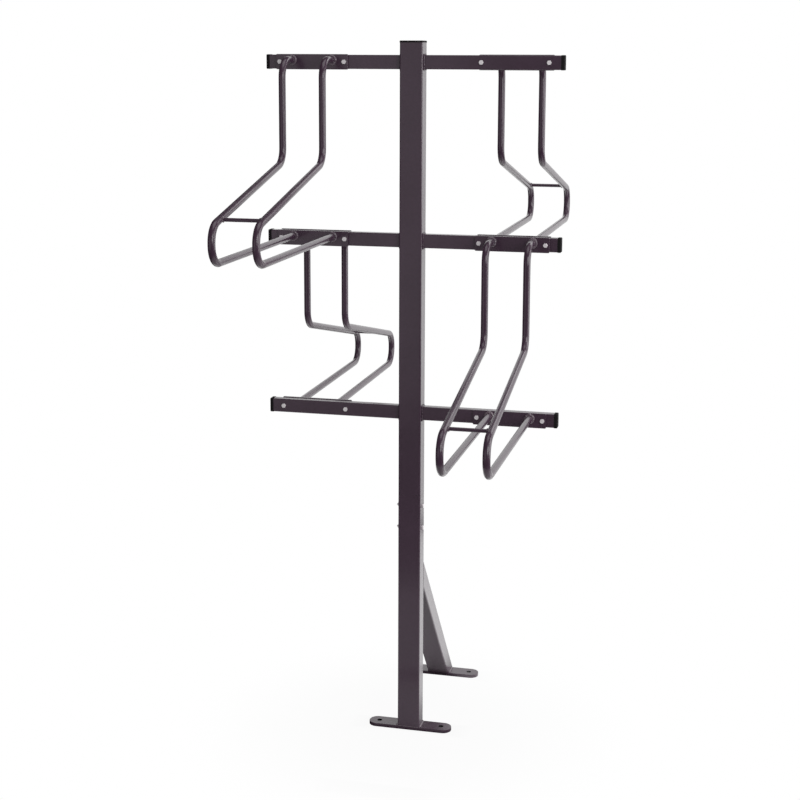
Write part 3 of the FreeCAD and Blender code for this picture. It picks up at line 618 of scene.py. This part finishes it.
beside = add_node(paper, "ShaderNodeMapRange",
                  {"Value": aside.outputs[0], "From Min": SHADE_BESIDE[0], "From Max": SHADE_BESIDE[1]})
unshaded = add_node(paper, "ShaderNodeMath", {0: behind.outputs[0], 1: beside.outputs[0]},
                    operation="MULTIPLY")
path = add_node(paper, "ShaderNodeLightPath")
seen = add_node(paper, "ShaderNodeMath", {0: path.outputs["Is Camera Ray"], 1: outwards.outputs[0]},
                operation="MULTIPLY")
reflected = add_node(paper, "ShaderNodeMath",
                     {0: path.outputs["Is Glossy Ray"], 1: path.outputs["Is Transmission Ray"]},
                     operation="MAXIMUM")
mirrored = add_node(paper, "ShaderNodeMath", {0: reflected.outputs[0], 1: unshaded.outputs[0]},
                    operation="MULTIPLY")
glow = add_node(paper, "ShaderNodeMath", {0: seen.outputs[0], 1: mirrored.outputs[0]},
                operation="MAXIMUM")
from_foot = add_node(paper, "ShaderNodeMath", {0: spot.outputs["Y"], 1: FOOT_PITCH / 2},
                     operation="PINGPONG")
clear = add_node(paper, "ShaderNodeMapRange",
                 {"Value": from_foot.outputs[0], "From Min": FOOT_SHADE_DEEP[0],
                  "From Max": FOOT_SHADE_DEEP[1]})
from_post = add_node(paper, "ShaderNodeMath", {0: spot.outputs["X"]}, operation="ABSOLUTE")
past = add_node(paper, "ShaderNodeMapRange",
                {"Value": from_post.outputs[0], "From Min": FOOT_SHADE_WIDE[0],
                 "From Max": FOOT_SHADE_WIDE[1]})
open_paper = add_node(paper, "ShaderNodeMath", {0: clear.outputs[0], 1: past.outputs[0]},
                      operation="MAXIMUM")
# The paper's colour is near black along the foot plates (painted shade) and white elsewhere.
paper_and_painted_shade = add_node(paper, "ShaderNodeMix",
                {"Factor": open_paper.outputs[0], 6: linear(FOOT_SHADE), 7: linear(FLOOR_WHITE)},
                data_type="RGBA")
sheet = add_node(paper, "ShaderNodeBsdfDiffuse", {"Color": paper_and_painted_shade.outputs[2]})
white = add_node(paper, "ShaderNodeEmission", {"Color": (1, 1, 1, 1), "Strength": 1.0})
lit = add_node(paper, "ShaderNodeMixShader", {0: glow.outputs[0], 1: sheet.outputs[0], 2: white.outputs[0]})
add_node(paper, "ShaderNodeOutputMaterial", {"Surface": lit.outputs[0]})
floor_mesh.materials.append(paper)

# The studio round the sheet is dim in reflections, and lights the rack a little from all sides.
STUDIO_DIM = 0.04
AMBIENT = 0.32

world = bpy.data.worlds.new("white_studio")
world.use_nodes = True
world.node_tree.nodes.clear()
bpy.context.scene.world = world
path = add_node(world, "ShaderNodeLightPath")
reflected = add_node(world, "ShaderNodeMath",
                     {0: path.outputs["Is Glossy Ray"], 1: path.outputs["Is Transmission Ray"]},
                     operation="MAXIMUM")
brightness = add_node(world, "ShaderNodeMapRange",
                      {"Value": reflected.outputs[0], "To Min": AMBIENT, "To Max": STUDIO_DIM})
surround = add_node(world, "ShaderNodeBackground",
                    {"Color": (1, 1, 1, 1), "Strength": brightness.outputs[0]})
backdrop = add_node(world, "ShaderNodeBackground", {"Color": (1, 1, 1, 1), "Strength": 1.0})
either = add_node(world, "ShaderNodeMixShader",
                  {0: path.outputs["Is Camera Ray"], 1: surround.outputs[0], 2: backdrop.outputs[0]})
add_node(world, "ShaderNodeOutputWorld", {"Surface": either.outputs[0]})


# Studio lights
# A white screen and a small rim panel behind the rack, a soft key on its right and a fill in front of it.
# One panel hangs overhead, and a weak one stands in front on the left, which the front faces mirror.

RACK_MIDDLE = Vector((0.0, 0.0, 1.0))


def softbox(name, place, width, height, power):
    """Rectangular area light that faces the rack."""
    light = bpy.data.lights.new(name, "AREA")
    light.shape = "RECTANGLE"
    light.size = width
    light.size_y = height
    light.energy = power
    lamp = bpy.data.objects.new(name, light)
    lamp.location = place
    lamp.rotation_euler = (RACK_MIDDLE - Vector(place)).to_track_quat("-Z", "Y").to_euler()
    lamp.visible_camera = False
    bpy.context.scene.collection.objects.link(lamp)


softbox("back_screen", place=(0.4, 2.1, 1.4), width=3.6, height=3.1, power=25.7)
softbox("key_right", place=(3.4, 0.4, 1.8), width=2.8, height=3.0, power=60.0)
softbox("front_fill", place=(3.2, -3.4, 2.8), width=2.6, height=2.6, power=60.0)
softbox("overhead", place=(0.3, -0.3, 4.4), width=2.6, height=2.6, power=20.0)
softbox("rim_right", place=(1.3, 2.1, 3.1), width=1.3, height=1.0, power=4.2)
softbox("front_left", place=(-2.3, -4.6, 1.3), width=3.2, height=3.2, power=12.0)


# Camera
# A short telephoto nearly as high as the rack, to the right of the post, looking slightly down.
# Its lens is shifted a little, which keeps the uprights nearer to parallel.

EYE = (0.9657, -4.1, 1.9168)
YAW = math.radians(13.708)
PITCH = math.radians(9.733)
ROLL = math.radians(0.184)
LENS = 69.46
SENSOR = 36.0
LENS_SHIFT = -0.1

camera_data = bpy.data.cameras.new("photo_camera")
camera_data.lens = LENS
camera_data.sensor_width = SENSOR
camera_data.shift_y = LENS_SHIFT
camera = bpy.data.objects.new("photo_camera", camera_data)
heading = Matrix.Rotation(YAW, 4, "Z")
tilt = Matrix.Rotation(math.pi / 2 - PITCH, 4, "X")
roll = Matrix.Rotation(ROLL, 4, "Z")
camera.matrix_world = Matrix.Translation(EYE) @ heading @ tilt @ roll
bpy.context.scene.collection.objects.link(camera)
bpy.context.scene.camera = camera
bpy.context.scene.view_settings.view_transform = "Standard"
